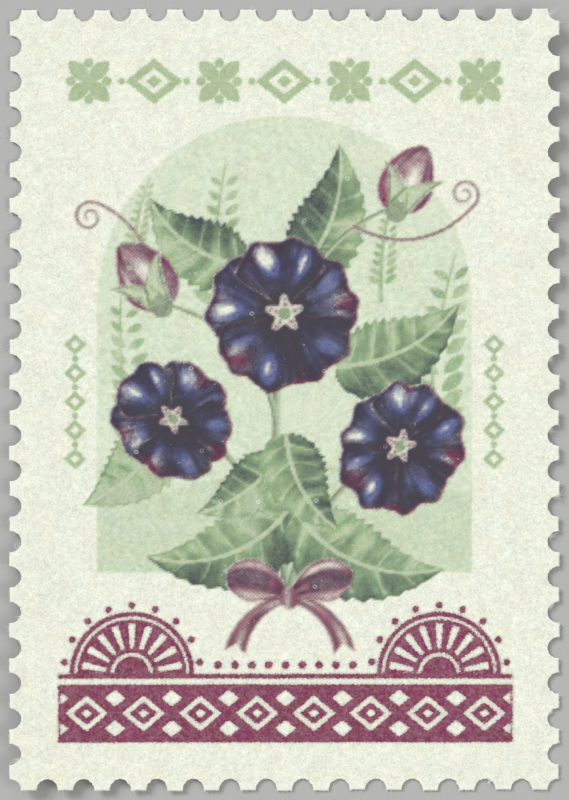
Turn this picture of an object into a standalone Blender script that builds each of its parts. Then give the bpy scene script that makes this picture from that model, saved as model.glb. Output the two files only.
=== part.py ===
"""A small perforated postage stamp, lying printed face up with a slight natural curl.

The stamp is one sheet of gummed paper. Its size is set by the comb of perforating pins: the format is measured
between the centres of opposite hole rows, and each side holds a whole number of hole spacings, so the four corner
holes are shared. Torn apart along the rows, each hole leaves half a circle and each bridge of paper leaves a tooth.

Metres, +Z up. The origin is at the middle of the underside, +Y points to the top of the stamp.
"""
import math
import random

import bmesh
import bpy
from mathutils.geometry import delaunay_2d_cdt

# Driving dimensions
MM = 0.001
FORMAT_WIDTH = 26.0 * MM        # between the centres of the left and right rows of holes
FORMAT_HEIGHT = 37.0 * MM       # between the centres of the top and bottom rows
SPACINGS_ACROSS = 15            # hole spacings along the top and bottom, gauge 11 1/2
SPACINGS_DOWN = 22              # hole spacings along the sides, gauge 12
HOLE_RADIUS = 0.5 * MM
SHEET_THICKNESS = 0.11 * MM     # paper, ink and dried gum together
TEAR_REACH = 0.10 * MM          # how far the longest torn tooth stands past the line of hole centres
TEAR_LOSS = 0.05 * MM           # how much shorter the other teeth may be torn
CURL_DIRECTION = math.radians(18.0)  # the sheet rolls up along this direction, seen from above
CURL_FLAT_HALF = 4.0 * MM       # the sheet lies flat this far to each side of its middle
CURL_LIFT = 0.60 * MM           # how high the two corners furthest along the curl stand

# How finely the outline and the sheet are divided
BITE_SEGMENTS = 10              # straight pieces round one half-circle bite
CORNER_SEGMENTS = 6             # straight pieces round a corner's quarter circle
TIP_POINTS = 3                  # points along a tooth's torn end, between the two bites
SEED = 11

PAPER_COLOUR = (0.83, 0.86, 0.74, 1.0)
PAPER_ROUGHNESS = 0.62


def clear_scene():
    for old in list(bpy.data.objects):
        bpy.data.objects.remove(old, do_unlink=True)


def tear_reaches(count, rng):
    """The reach of one side's torn teeth: each has a start, its points along the end, and a finish."""
    teeth = [[TEAR_REACH - TEAR_LOSS * rng.random() for _ in range(TIP_POINTS + 2)] for _ in range(count)]
    teeth[count // 2][1] = TEAR_REACH
    return teeth


def arc(centre, along, outward, start, stop, segments):
    """Points on a hole's circle; the angle is counted from the side's direction towards its outward normal."""
    points = []
    for step in range(segments + 1):
        angle = start + (stop - start) * step / segments
        a = HOLE_RADIUS * math.cos(angle)
        b = HOLE_RADIUS * math.sin(angle)
        points.append((centre[0] + a * along[0] + b * outward[0], centre[1] + a * along[1] + b * outward[1]))
    return points


def past_line(reach):
    """How far round the hole, past the line of centres, a tooth of this reach starts."""
    return math.asin(reach / HOLE_RADIUS)


def tooth_tip(start, along, outward, spacing, number, reaches):
    """Points along a tooth's torn end, between the circles of the holes on its two sides."""
    first = number * spacing + HOLE_RADIUS
    width = spacing - 2 * HOLE_RADIUS
    points = []
    for step in range(1, TIP_POINTS + 1):
        a = first + width * step / (TIP_POINTS + 1)
        b = reaches[step]
        points.append((start[0] + a * along[0] + b * outward[0], start[1] + a * along[1] + b * outward[1]))
    return points


def side_points(start, along, spacing, teeth, last_reach):
    """One side, counter-clockwise: the corner hole, then a tooth and a bite in turn, and the last tooth."""
    outward = (along[1], -along[0])
    points = arc(start, along, outward, 1.5 * math.pi - past_line(last_reach),
                 2 * math.pi + past_line(teeth[0][0]), CORNER_SEGMENTS)
    for number, reaches in enumerate(teeth):
        points += tooth_tip(start, along, outward, spacing, number, reaches)
        if number + 1 < len(teeth):
            centre = (start[0] + (number + 1) * spacing * along[0], start[1] + (number + 1) * spacing * along[1])
            points += arc(centre, along, outward, math.pi - past_line(reaches[-1]),
                          2 * math.pi + past_line(teeth[number + 1][0]), BITE_SEGMENTS)
    return points


def outline():
    """The whole torn outline, counter-clockwise from the lower left corner hole."""
    rng = random.Random(SEED)
    x = FORMAT_WIDTH / 2
    y = FORMAT_HEIGHT / 2
    across = FORMAT_WIDTH / SPACINGS_ACROSS
    down = FORMAT_HEIGHT / SPACINGS_DOWN
    sides = [((-x, -y), (1, 0), across, SPACINGS_ACROSS), ((x, -y), (0, 1), down, SPACINGS_DOWN),
             ((x, y), (-1, 0), across, SPACINGS_ACROSS), ((-x, y), (0, -1), down, SPACINGS_DOWN)]
    teeth = [tear_reaches(count, rng) for _, _, _, count in sides]
    points = []
    for number, (start, along, spacing, _) in enumerate(sides):
        points += side_points(start, along, spacing, teeth[number], teeth[number - 1][-1][-1])
    return points


def inner_points():
    """A plain grid inside the teeth, one point to a hole spacing, which lets the sheet bend."""
    across = FORMAT_WIDTH / SPACINGS_ACROSS
    down = FORMAT_HEIGHT / SPACINGS_DOWN
    return [(-FORMAT_WIDTH / 2 + i * across, -FORMAT_HEIGHT / 2 + j * down)
            for i in range(1, SPACINGS_ACROSS) for j in range(1, SPACINGS_DOWN)]


def curl_height(x, y):
    """Height of the underside: flat in a band through the middle, then rising as a parabola on both sides."""
    cosine = math.cos(CURL_DIRECTION)
    sine = math.sin(CURL_DIRECTION)
    furthest = FORMAT_WIDTH / 2 * cosine + FORMAT_HEIGHT / 2 * sine
    past_flat = max(0.0, abs(x * cosine + y * sine) - CURL_FLAT_HALF)
    return CURL_LIFT * (past_flat / (furthest - CURL_FLAT_HALF)) ** 2


def paper_material():
    material = bpy.data.materials.new("paper")
    material.use_nodes = True
    shader = material.node_tree.nodes["Principled BSDF"]
    shader.inputs["Base Color"].default_value = PAPER_COLOUR
    shader.inputs["Roughness"].default_value = PAPER_ROUGHNESS
    shader.inputs["Metallic"].default_value = 0.0
    return material


def build_stamp_sheet():
    """The perforated sheet: its outline is filled with triangles, curled, and given its thickness."""
    edge = outline()
    loop = [(k, (k + 1) % len(edge)) for k in range(len(edge))]
    flat_points, _, triangles, *_ = delaunay_2d_cdt(edge + inner_points(), loop, [], 1, 1e-9)
    sheet = bmesh.new()
    lower = [sheet.verts.new((x, y, curl_height(x, y))) for x, y in flat_points]
    faces = [sheet.faces.new([lower[k] for k in triangle]) for triangle in triangles]
    raised = bmesh.ops.extrude_face_region(sheet, geom=faces, use_keep_orig=True)
    upper = [item for item in raised["geom"] if isinstance(item, bmesh.types.BMVert)]
    bmesh.ops.translate(sheet, verts=upper, vec=(0.0, 0.0, SHEET_THICKNESS))
    bmesh.ops.recalc_face_normals(sheet, faces=sheet.faces[:])
    mesh = bpy.data.meshes.new("stamp_sheet")
    sheet.to_mesh(mesh)
    sheet.free()
    stamp = bpy.data.objects.new("stamp_sheet", mesh)
    bpy.context.scene.collection.objects.link(stamp)
    mesh.materials.append(paper_material())
    mesh.shade_smooth()
    mesh.set_sharp_from_angle(angle=math.radians(40.0))
    return stamp


clear_scene()
build_stamp_sheet()
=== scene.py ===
# %% [markdown]
# A perforated postage stamp
#
# The real object is one small sheet of paper. It was printed on its face in four inks, coated on its back with gum,
# punched with rows of round holes, and torn from its neighbours along them. This lesson dresses the construction
# model of that sheet: the paper with its torn teeth, the fibres that stand out of the tears, the film of ink, and the
# gum. It could be one flat card with a picture on it, but a stamp seen close is all edge and ink, so each of these
# is a surface of its own.

# %% Load the frame
import math

import bpy
import numpy as np
from mathutils.geometry import delaunay_2d_cdt
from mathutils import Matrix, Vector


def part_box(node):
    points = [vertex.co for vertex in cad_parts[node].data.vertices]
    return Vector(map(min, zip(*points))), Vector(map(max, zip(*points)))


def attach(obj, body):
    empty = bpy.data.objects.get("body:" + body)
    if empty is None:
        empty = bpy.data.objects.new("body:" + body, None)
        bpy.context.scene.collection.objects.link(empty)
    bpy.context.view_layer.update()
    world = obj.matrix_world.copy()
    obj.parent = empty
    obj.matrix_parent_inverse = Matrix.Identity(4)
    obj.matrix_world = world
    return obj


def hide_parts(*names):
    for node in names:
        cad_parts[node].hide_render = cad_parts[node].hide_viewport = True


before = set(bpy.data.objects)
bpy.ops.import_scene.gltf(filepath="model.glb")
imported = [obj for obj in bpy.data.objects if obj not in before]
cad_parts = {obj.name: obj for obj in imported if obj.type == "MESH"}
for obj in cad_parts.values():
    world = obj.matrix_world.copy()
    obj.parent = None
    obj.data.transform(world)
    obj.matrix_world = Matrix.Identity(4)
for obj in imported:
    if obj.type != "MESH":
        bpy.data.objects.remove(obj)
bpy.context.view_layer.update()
low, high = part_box("stamp_sheet")
print("sheet, in mm:", [round(1000 * size, 3) for size in high - low])

# %% [markdown]
# The sheet's measures
#
# Stamps are measured by their perforation. The format is the distance between the centres of opposite hole rows, and
# each side holds a whole number of hole spacings. Everything below is worked out from these few values, in
# millimetres, because the sizes on a stamp are easiest to read so. Meshes are made in metres at the last moment.

# %% Sheet values
MM = 0.001
FORMAT = (26.0, 37.0)            # between hole-row centres, across and down
SPACINGS = (15, 22)              # hole spacings across and down
HOLE = 0.5                       # radius of a punched hole
TEAR = 1000 * high.x - FORMAT[0] / 2    # how far the longest torn tooth stands past the row's centre line
TEAR_LOSS = 0.05                 # how much shorter a tooth may be torn
GUM = 0.010                      # thickness of the dried gum
INK = 0.006                      # how far the ink film stands off the paper
THICKNESS = 0.11                 # the whole sheet, gum and paper
CURL_DIRECTION = math.radians(18.0)
CURL_FLAT = 4.0                  # half-width of the band that lies flat
CURL_LIFT = 0.60                 # lift of the two corners furthest along the curl
print("spacing across and down, in mm:", [round(f / n, 4) for f, n in zip(FORMAT, SPACINGS)])


# %% [markdown]
# Noise and soft steps
#
# Paper and ink are never even. Smooth random fields, made from a small table of seeded random numbers, shape the
# tears and shade the washes of ink. They are plain numpy functions of x and y, so they work on whole arrays.

# %% Fields of x and y
def soft_step(start, stop, x):
    """0 before start, 1 after stop, and the smooth cubic 3t^2 - 2t^3 between them. stop may lie before start."""
    t = np.clip((x - start) / (stop - start), 0, 1)
    return t * t * (3 - 2 * t)


def bell(x, width):
    """exp(-(x / width)^2): 1 where x is 0, and almost nothing past twice the width."""
    return np.exp(-(x / width) ** 2)


def cloud(x, y, size, seed):
    """Random values on a square lattice of this size, blended from corner to corner with the smooth cubic."""
    table = np.random.default_rng(seed).random((128, 128))
    across, up = x / size + 57.3, y / size + 91.7
    i, j = np.floor(across).astype(int), np.floor(up).astype(int)
    u, v = soft_step(0, 1, across - i), soft_step(0, 1, up - j)
    near, far = [table[i % 128, k % 128] * (1 - u) + table[(i + 1) % 128, k % 128] * u for k in (j, j + 1)]
    return near * (1 - v) + far * v


def clouds(x, y, size, seed):
    """Three clouds, each half the size of the last and weaker, less their mean: about -0.5 to 0.5."""
    return (0.55 * cloud(x, y, size, seed) + 0.30 * cloud(x, y, size / 2, seed + 1)
            + 0.15 * cloud(x, y, size / 4, seed + 2) - 0.5)


def curl(x, y):
    """Height of the sheet's underside: flat in the middle band, then a parabola in the distance past it."""
    furthest = FORMAT[0] / 2 * math.cos(CURL_DIRECTION) + FORMAT[1] / 2 * math.sin(CURL_DIRECTION)
    past = np.maximum(0, np.abs(x * math.cos(CURL_DIRECTION) + y * math.sin(CURL_DIRECTION)) - CURL_FLAT)
    return CURL_LIFT * (past / (furthest - CURL_FLAT)) ** 2


corner = np.array(FORMAT) / 2
print("lift of the corners, in mm:", [round(float(curl(sx * corner[0], corner[1])), 3) for sx in (-1, 1)])


# %% [markdown]
# From arrays to pieces
#
# Every piece below is made of an array of points and an array of faces. One helper turns the two into a mesh and joins
# it to the sheet's body.

# %% Mesh helpers
def grid_faces(rows, columns, closed=False):
    """The four corners of each cell of a grid of points, row after row; closed joins the last column to the first."""
    index = np.arange(rows * columns).reshape(rows, columns)
    after = np.roll(index, -1, axis=1)
    cells = slice(None) if closed else slice(0, -1)
    corners = [index[:-1, cells], after[:-1, cells], after[1:, cells], index[1:, cells]]
    return np.stack(corners, -1).reshape(-1, 4)


def make_piece(name, points, faces, sharp=None):
    """A mesh from points in millimetres and faces, riding on the stamp, with smooth shading up to a sharp angle."""
    mesh = bpy.data.meshes.new(name)
    mesh.from_pydata((points * MM).tolist(), [], [face for group in faces for face in group.tolist()])
    mesh.validate()
    mesh.shade_smooth()
    if sharp is not None:
        mesh.set_sharp_from_angle(angle=math.radians(sharp))
    piece = bpy.data.objects.new(name, mesh)
    bpy.context.scene.collection.objects.link(piece)
    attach(piece, "root")
    print(name, "has", len(mesh.vertices), "points and", len(mesh.polygons), "faces")
    return piece


# %% [markdown]
# The torn outline
#
# A punch cuts clean round holes, and the bridges of paper between them are torn by hand. So the outline is a chain of
# equal units, one for each tooth: half of a hole, the torn end, and half of the next hole. All the units are worked
# out at once, as rows of one array. Growing the holes and lowering the teeth by the same inset gives a parallel
# outline, so the whole edge can be built as one profile carried along this path.

# %% Outline of the sheet
ARC_POINTS = 13
TIP_POINTS = 16
LAST = 2 * ARC_POINTS + TIP_POINTS - 1
rng = np.random.default_rng(5)

side_of = np.repeat(np.arange(4), [SPACINGS[k % 2] for k in range(4)])
number = np.concatenate([np.arange(SPACINGS[k % 2]) for k in range(4)])
count = np.array([SPACINGS[k % 2] for k in range(4)])[side_of]
spacing = np.array([FORMAT[k % 2] / SPACINGS[k % 2] for k in range(4)])[side_of]
start = np.array([(-1, -1), (1, -1), (1, 1), (-1, 1)])[side_of] * corner
along = np.array([(1, 0), (0, 1), (-1, 0), (0, -1)])[side_of]
outward = np.stack([along[:, 1], -along[:, 0]], 1)
begins = np.where(number == 0, 1.75, 1.5) * np.pi
ends = np.where(number == count - 1, 1.25, 1.5) * np.pi
units = len(number)
print(units, "teeth, with", units * LAST, "points along the outline")


# %% [markdown]
# How paper tears
#
# A tooth's end is ragged at the size of its fibres, and some tear shorter than others. The edge of a hole is nearly
# clean, but a blunt pin leaves one here and there with a few fibres in its curve. Both are small random offsets that
# stay the same for every inset, so the parallel outlines never cross.

# %% Raggedness of each unit
TEAR_LEAN, TEAR_GRAIN, TEAR_BITE, DEEPEST = 0.02, 0.030, 0.018, 0.09    # slant, fibre notches, hollow, and the limit
BLUNT_SHARE, BLUNT, CLEAN = 0.2, 0.075, 0.034    # how many pins are blunt, and the roughness that each kind leaves
tooth_loss = TEAR_LOSS * rng.random(units)[:, None]
lean = TEAR_LEAN * (rng.random(units)[:, None] - 0.5)
tip_share = np.linspace(0, 1, TIP_POINTS + 2)[None, :]
ragged = TEAR_GRAIN * rng.random((units, TIP_POINTS + 2))
ragged = ragged + TEAR_BITE * rng.random((units, 1)) * np.sin(np.pi * tip_share)
reach = TEAR - np.clip(tooth_loss + lean * (tip_share - 0.5) + ragged, 0, DEEPEST)
reach[count // 2 == number, TIP_POINTS // 2] = TEAR
blunt = np.where(rng.random((units, 1)) < BLUNT_SHARE, BLUNT, CLEAN)
window = np.sin(np.pi * np.linspace(0, 1, ARC_POINTS))[None, :]
rough_first, rough_last = [blunt * window * (rng.random((units, ARC_POINTS)) - 0.3) for _ in range(2)]
torn = np.concatenate([np.zeros((units, ARC_POINTS - 1)), np.ones((units, TIP_POINTS + 2)),
                       np.zeros((units, ARC_POINTS - 2))], 1)
strand = 0.35 + 1.1 * rng.random((units, LAST))
print("mean reach of the teeth, in mm:", round(float(reach.mean()), 3))


def outline(inset):
    """The outline, set in by an array of insets, one for each point. Round a hole the point stands at
    radius + inset from its centre; along a tear it stands at reach - inset past the row, between the two circles."""
    first, tip, last = np.split(inset, [ARC_POINTS, ARC_POINTS + TIP_POINTS], axis=1)
    last = np.concatenate([last, inset[:, -1:]], 1)
    r1, r2 = HOLE + first - rough_first, HOLE + last - rough_last
    past1 = np.arcsin(np.clip((reach[:, :1] - first[:, -1:]) / r1[:, -1:], -1, 1))
    past2 = np.arcsin(np.clip((reach[:, -1:] - last[:, :1]) / r2[:, :1], -1, 1))
    share = np.linspace(0, 1, ARC_POINTS)[None, :]
    angle1 = begins[:, None] + (2 * np.pi + past1 - begins[:, None]) * share
    angle2 = (np.pi - past2) + (ends[:, None] - np.pi + past2) * share
    a1 = number[:, None] * spacing[:, None] + r1 * np.cos(angle1)
    a2 = (number[:, None] + 1) * spacing[:, None] + r2 * np.cos(angle2)
    inner = tip_share[:, 1:-1]
    a = np.concatenate([a1, a1[:, -1:] * (1 - inner) + a2[:, :1] * inner, a2], 1)[:, :-1]
    b = np.concatenate([r1 * np.sin(angle1), reach[:, 1:-1] - tip, r2 * np.sin(angle2)], 1)[:, :-1]
    points = start[:, None, :] + a[..., None] * along[:, None, :] + b[..., None] * outward[:, None, :]
    return points.reshape(-1, 2)


# %% [markdown]
# Filling a face
#
# The two faces of the sheet are bounded by that outline, so they can't be a plain grid. They are filled with
# triangles instead: small ones near the teeth and larger ones further in, where only the slow curl has to be followed.
# Blender's own constrained triangulation keeps every point of the outline.

# %% Fill for the two faces
def lattice(step, nearest, furthest):
    """Points of a square lattice that lie between two distances from the paper's edge."""
    x, y = np.meshgrid(*(np.arange(-half, half, step) + step / 2 for half in corner))
    gap = np.array(FORMAT) / SPACINGS
    to_column = np.hypot(corner[0] - np.abs(x), (y + corner[1] + gap[1] / 2) % gap[1] - gap[1] / 2) - HOLE
    to_row = np.hypot(corner[1] - np.abs(y), (x + corner[0] + gap[0] / 2) % gap[0] - gap[0] / 2) - HOLE
    to_side = np.minimum(corner[0] - np.abs(x), corner[1] - np.abs(y)) + TEAR
    edge = np.minimum(np.minimum(to_column, to_row), to_side)
    kept = (edge > nearest) & (edge <= furthest)
    return np.stack([x[kept], y[kept]], 1)


RINGS = ((0.11, 0.27, 0.45), (0.3, 0.45, 1.2), (0.8, 1.2, 99.0))    # step, nearest and furthest of each band
FILL = np.concatenate([lattice(*ring) for ring in RINGS])
print(len(FILL), "points fill each face")


def filled(loop, inner):
    """Triangles that fill a closed loop of points, using the points inside it; all face up."""
    edges = [(k, (k + 1) % len(loop)) for k in range(len(loop))]
    whole = np.concatenate([loop, inner]).tolist()
    points, _, triangles, *_ = delaunay_2d_cdt(whole, edges, [], 1, 1e-7)
    assert len(points) == len(loop) + len(inner)
    return np.array(triangles)


def closed_sheet(profile):
    """A closed body whose rim is the profile carried round the outline, and whose two faces are filled.
    Each step of the profile is (inset at a hole, extra inset at a tear, height), from the upper face to the lower."""
    rows = [outline(hole + tear * torn * strand) for hole, tear, _ in profile]
    heights = [height for _, _, height in profile]
    size = len(rows[0])
    flat = np.concatenate(rows + [FILL, FILL])
    rise = np.concatenate([np.full(size, h) for h in heights] + [np.full(len(FILL), heights[k]) for k in (0, -1)])
    points = np.column_stack([flat, curl(flat[:, 0], flat[:, 1]) + rise])
    end = size * len(rows)
    triangles = filled(rows[0], FILL)
    upper = np.where(triangles < size, triangles, triangles - size + end)
    triangles = filled(rows[-1], FILL)
    lower = np.where(triangles < size, triangles + end - size, triangles - size + end + len(FILL))
    return points, [grid_faces(len(rows), size, closed=True)[:, ::-1], upper, lower[:, ::-1]]


# %% [markdown]
# A map for the exported picture
#
# When the model is exported, each piece's finish is baked into a square picture. Blender can unwrap a piece by
# itself, but it would cut the thin rim into hundreds of scraps. Here the map is written down directly: the face on
# the left, the back on the right, and the rim as four long strips along the foot.

# %% Bake map of a closed sheet
MAP_REACH = (13.5, 18.9)         # half width and half height of what the map shows of each face
FLAT_FOOT, FLAT_HEAD = 0.06, 0.995
STRIPS = 4                       # the rim's strips, below the faces
STRIP_PITCH = 0.012
STRIP_SHARE = 0.75               # how much of its pitch a strip fills


def store_map(piece, places):
    """Writes a pair of map values, 0 to 1, for each corner of each face."""
    piece.data.uv_layers.new(name="OFBake").data.foreach_set("uv", places.astype(np.float32).ravel())


def map_sheet(piece, points, faces, profile):
    """Face: x from the left side and y from the foot, as shares. Back: the same, with x turned and moved right by
    half the map. Rim: the number of the column along it, and the step of the profile across it."""
    quads, upper, lower = faces
    size = len(quads) // (len(profile) - 1)
    index = np.concatenate([quads.ravel(), upper.ravel(), lower.ravel()])
    x, y = points[index, 0], points[index, 1]
    band = np.repeat(np.arange(len(quads)) // size, 4)
    rim_bands = [k for k in range(len(profile) - 1) if max(profile[k][0], profile[k + 1][0]) < 0.02]
    below = np.concatenate([band > rim_bands[-1], np.zeros(upper.size, bool), np.ones(lower.size, bool)])
    u = np.where(below, 0.5 + (MAP_REACH[0] - x) / (4 * MAP_REACH[0]), (x + MAP_REACH[0]) / (4 * MAP_REACH[0]))
    v = FLAT_FOOT + (FLAT_HEAD - FLAT_FOOT) * (y + MAP_REACH[1]) / (2 * MAP_REACH[1])
    column = np.repeat(np.arange(len(quads)) % size, 4) + np.tile([0, 1, 1, 0], len(quads))
    step = band + np.tile([1, 1, 0, 0], len(quads)) - rim_bands[0]
    per_strip = -(-size // STRIPS)
    strip = np.repeat(np.arange(len(quads)) % size // per_strip, 4)
    on_rim = np.flatnonzero((band >= rim_bands[0]) & (band <= rim_bands[-1]))
    u[on_rim] = 0.002 + 0.996 * (column - strip * per_strip)[on_rim] / per_strip
    v[on_rim] = (0.003 + STRIP_PITCH * (strip + STRIP_SHARE * step / len(rim_bands)))[on_rim]
    places = np.stack([u, v], -1)
    store_map(piece, places)
    print(piece.name, "map reaches from", places.min(0).round(3), "to", places.max(0).round(3))


# %% [markdown]
# The paper
#
# Across its thickness the edge isn't square. Where the punch went through, both corners are a little rounded. Where
# the paper was torn, its layers part: the middle reaches furthest and both faces draw back. That profile has nine
# steps from the face to the back, and stops just above the underside, where the gum lies.

# %% Paper sheet
PAPER = THICKNESS - GUM
PROFILE = [(0.20, 0.0, THICKNESS), (0.07, 0.01, THICKNESS), (0.006, 0.040, GUM + 0.985 * PAPER),
           (0.001, 0.022, GUM + 0.80 * PAPER), (0.0, 0.0, GUM + 0.52 * PAPER), (0.001, 0.014, GUM + 0.24 * PAPER),
           (0.004, 0.034, GUM + 0.02 * PAPER), (0.07, 0.01, GUM), (0.20, 0.0, GUM)]
sheet_points, sheet_faces = closed_sheet(PROFILE)
paper_sheet = make_piece("paper_sheet", sheet_points, sheet_faces, sharp=50)
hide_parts("stamp_sheet")
map_sheet(paper_sheet, sheet_points, sheet_faces, PROFILE)

# %% [markdown]
# The gum
#
# The back carries a film of dried gum, about a hundredth of a millimetre thick, that was brushed on before the sheet
# was punched. It is a slab of its own, a hair smaller than the paper, so that its gloss and colour stay off the
# torn edge.

# %% Gum coat
GUM_PROFILE = [(0.20, 0.0, GUM + 0.001), (0.05, 0.02, GUM + 0.001), (0.014, 0.045, 0.75 * GUM),
               (0.012, 0.040, 0.3 * GUM), (0.05, 0.02, 0.0), (0.20, 0.0, 0.0)]
gum_points, gum_faces = closed_sheet(GUM_PROFILE)
gum_coat = make_piece("gum_coat", gum_points, gum_faces, sharp=60)
map_sheet(gum_coat, gum_points, gum_faces, GUM_PROFILE)

# %% [markdown]
# Fibres in the tears
#
# Torn paper is furry. Each fibre of the pulp is about a hundredth of a millimetre thick, and where a tooth was torn,
# some are pulled out of the sheet and stand free. Here each fibre is a thin tapered tube that leaves the torn end and
# bends as it goes. All of them are made at once: the first array axis is the fibre, the second the step along it.

# %% Torn fibres
FIBRES_PER_TOOTH = 14
FIBRE_STEPS, FIBRE_SIDES = 6, 3
FIBRE_REACH = 0.25               # how far a fibre may stand past the longest tooth
FIBRE_LENGTH = (0.05, 0.05, 0.16)    # shortest, usual spread, and the rare longest


def tubes(paths, radii, sides):
    """A closed tube round each path: ring points stand at the radius from it, on two normals of its mean direction."""
    heading = paths[:, -1] - paths[:, 0]
    heading /= np.linalg.norm(heading, axis=1)[:, None]
    first = np.cross(heading, [0.31, 0.17, 0.93])
    first /= np.linalg.norm(first, axis=1)[:, None]
    second = np.cross(heading, first)
    turn = np.arange(sides) * 2 * np.pi / sides
    ring = (np.cos(turn)[None, None, :, None] * first[:, None, None]
            + np.sin(turn)[None, None, :, None] * second[:, None, None])
    points = paths[:, :, None] + radii[:, :, None, None] * ring
    count, steps = paths.shape[:2]
    base = (np.arange(count) * steps * sides)[:, None, None]
    walls = (grid_faces(steps, sides, closed=True)[None] + base).reshape(-1, 4)
    foot, tip = np.arange(sides)[::-1] + base[:, 0], np.arange(sides) + (steps - 1) * sides + base[:, 0]
    return points.reshape(-1, 3), [walls, np.concatenate([foot, tip])]


def fibre_paths(roots, headings, lengths, bends, rises):
    """Parabolas: root + heading * s + bend * s^2 sideways and rise * s upward, for s from 0 to the length."""
    s = np.linspace(0, 1, FIBRE_STEPS)[None, :] * lengths[:, None]
    side = np.stack([-headings[:, 1], headings[:, 0]], 1)
    flat = (roots[:, None, :2] + s[..., None] * headings[:, None]
            + (bends[:, None] * s ** 2)[..., None] * side[:, None])
    return np.concatenate([flat, (roots[:, None, 2] + rises[:, None] * s)[..., None]], -1)


def fibre_piece(name, roots, headings, lengths, bends, rise, thin, spread, taper):
    """One mesh of many fibres. Each rises by a random slope of this spread, and its root's radius lies between thin
    and thin + spread."""
    rises = rng.normal(0, rise, len(roots))
    radii = (thin + spread * rng.random(len(roots)))[:, None] * np.linspace(1, taper, FIBRE_STEPS)[None, :]
    points, faces = tubes(fibre_paths(roots, headings, lengths, bends, rises), radii, FIBRE_SIDES)
    return make_piece(name, points, faces)


per = units * FIBRES_PER_TOOTH
unit = np.repeat(np.arange(units), FIBRES_PER_TOOTH)
edge_row = outline(np.full((units, LAST), 0.035)).reshape(units, LAST, 2)
spot = ARC_POINTS - 1 + rng.integers(0, TIP_POINTS + 2, per)
root = edge_row[unit, spot]
aim = rng.normal(0, 0.75, per)
heading = np.cos(aim)[:, None] * outward[unit] + np.sin(aim)[:, None] * along[unit]
length = FIBRE_LENGTH[0] + FIBRE_LENGTH[1] * rng.random(per) + FIBRE_LENGTH[2] * rng.random(per) ** 5
past_edge = np.sum(root * outward[unit], 1) - np.sum(start * outward, 1)[unit]
length = np.minimum(length, (TEAR + FIBRE_REACH - past_edge) / np.maximum(np.cos(aim), 0.3))
height = curl(root[:, 0], root[:, 1]) + GUM + PAPER * (0.15 + 0.7 * rng.random(per))
torn_fibres = fibre_piece("torn_fibres", np.column_stack([root, height]), heading, length, rng.normal(0, 3.0, per),
                          rise=0.12, thin=0.0045, spread=0.0035, taper=0.45)

# %% [markdown]
# Bitten holes
#
# A comb of worn pins doesn't cut every fibre. In a few holes a wisp of pulp is left hanging from the rim and curls
# into the opening. These are the same tubes, longer and bunched: a few rims are chosen, and each gets a tuft.

# %% Wisps in the holes
WISP_HOLES, WISP_FIBRES = 17, 22
WISP_LENGTH = (0.07, 0.30)       # shortest, and the spread up to the longest
wisp_unit = rng.choice(units, WISP_HOLES, replace=False)
wisp_at = rng.integers(2, ARC_POINTS - 3, WISP_HOLES)
unit = np.repeat(wisp_unit, WISP_FIBRES)
spot = np.repeat(wisp_at, WISP_FIBRES) + rng.integers(-1, 2, len(unit))
rim = outline(np.full((units, LAST), 0.012)).reshape(units, LAST, 2)
root = rim[unit, spot]
hole_centre = start[unit] + (number[unit] * spacing[unit])[:, None] * along[unit]
toward = hole_centre - root
toward /= np.linalg.norm(toward, axis=1)[:, None]
swing = np.repeat(rng.normal(0, 0.5, WISP_HOLES), WISP_FIBRES) + rng.normal(0, 0.45, len(unit))
turned = np.stack([-toward[:, 1], toward[:, 0]], 1)
heading = np.cos(swing)[:, None] * toward + np.sin(swing)[:, None] * turned
length = WISP_LENGTH[0] + WISP_LENGTH[1] * rng.random(len(unit)) ** 2.5
height = curl(root[:, 0], root[:, 1]) + GUM + PAPER * (0.2 + 0.6 * rng.random(len(unit)))
bend = np.repeat(rng.normal(0, 3.0, WISP_HOLES), WISP_FIBRES) + rng.normal(0, 1.5, len(unit))
hole_wisps = fibre_piece("hole_wisps", np.column_stack([root, height]), heading, length, bend,
                         rise=0.08, thin=0.008, spread=0.007, taper=0.4)

# %% [markdown]
# Four printing plates
#
# The picture is printed from four plates: a light green, a claret, a blue and a black. Each plate lays down a tone,
# from 0 for bare paper to 1 for solid ink. Line work on the green and claret plates is kept as a distance to its
# edge instead, because a distance stays sharp between the points of a mesh and a tone doesn't. A drawing on paper
# could be scanned, but every shape here is a formula in x and y, so that it can be redrawn at any size.

# %% The press
CELL = 0.09                      # spacing of the ink film's points
PRINT = (10.8, 16.25)            # half width and half height of the printed area
MARGIN = 0.33                    # bare rim of the film round it
film_half = [half + MARGIN for half in PRINT]
columns, rows = [int(2 * half / CELL) + 1 for half in film_half]
X, Y = np.meshgrid(np.linspace(-1, 1, columns) * film_half[0], np.linspace(1, -1, rows) * film_half[1])
tone = {plate: np.zeros_like(X) for plate in ("green", "claret", "blue", "black")}
line = {plate: np.full_like(X, 9.0) for plate in ("green", "claret")}
print("ink film:", rows, "by", columns, "points")


def lay(distance, soft=0.06, **inks):
    """Inside a shape (distance below 0) the plates' tones are replaced. Plates that aren't named are wiped there."""
    mask = soft_step(soft, -soft, distance)
    for plate in tone:
        tone[plate] += (np.clip(inks.get(plate, 0.0), 0, 1) - tone[plate]) * mask


def tint(mask, **inks):
    """Adds ink to some plates, or takes it off, by a mask from 0 to 1."""
    for plate, amount in inks.items():
        tone[plate] = np.clip(tone[plate] + amount * mask, 0, 1)


def solid(plate, distance):
    """Adds a solid shape to a plate's line work: the union is the lesser distance."""
    line[plate] = np.minimum(line[plate], distance)


def cut(plate, distance):
    """Takes a shape out of a plate's line work: the greater of its distance and the shape's, negated."""
    line[plate] = np.maximum(line[plate], -distance)


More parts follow.
